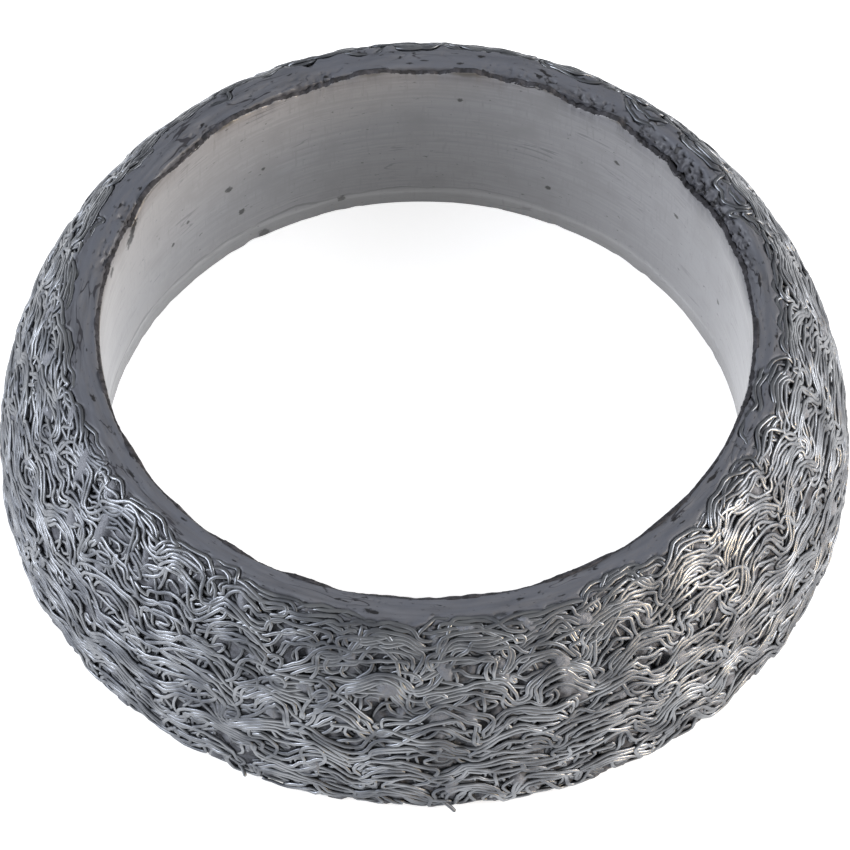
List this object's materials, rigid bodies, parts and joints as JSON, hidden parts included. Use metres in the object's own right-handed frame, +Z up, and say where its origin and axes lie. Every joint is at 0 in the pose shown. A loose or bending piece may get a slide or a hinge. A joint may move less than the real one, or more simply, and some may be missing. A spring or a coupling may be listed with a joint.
{
  "type": "exhaust gasket",
  "caption": "Spherical exhaust joint gasket: a ring of knitted steel wire and graphite, pressed in one piece, with a smooth bore, two flat faces and a convex seat.",
  "frame": {"origin": "centre of the large flat face, which the ring stands on", "axes": "+Z up the bore's axis, from the large face to the small face; the ring is the same all round, so +X is any radius"},
  "size_m": [0.0689, 0.0689, 0.0177],
  "materials": {
    "steel_wire": "knitted steel wire with flattened, graphite-smeared crowns",
    "graphite": "dark slate pressed graphite, faintly streaked",
    "bore_skin": "pale grey pressed skin of the bore with a fine cloth print"
  },
  "bodies": {
    "root": {"gasket_ring": "steel_wire"}
  },
  "joints": []
}
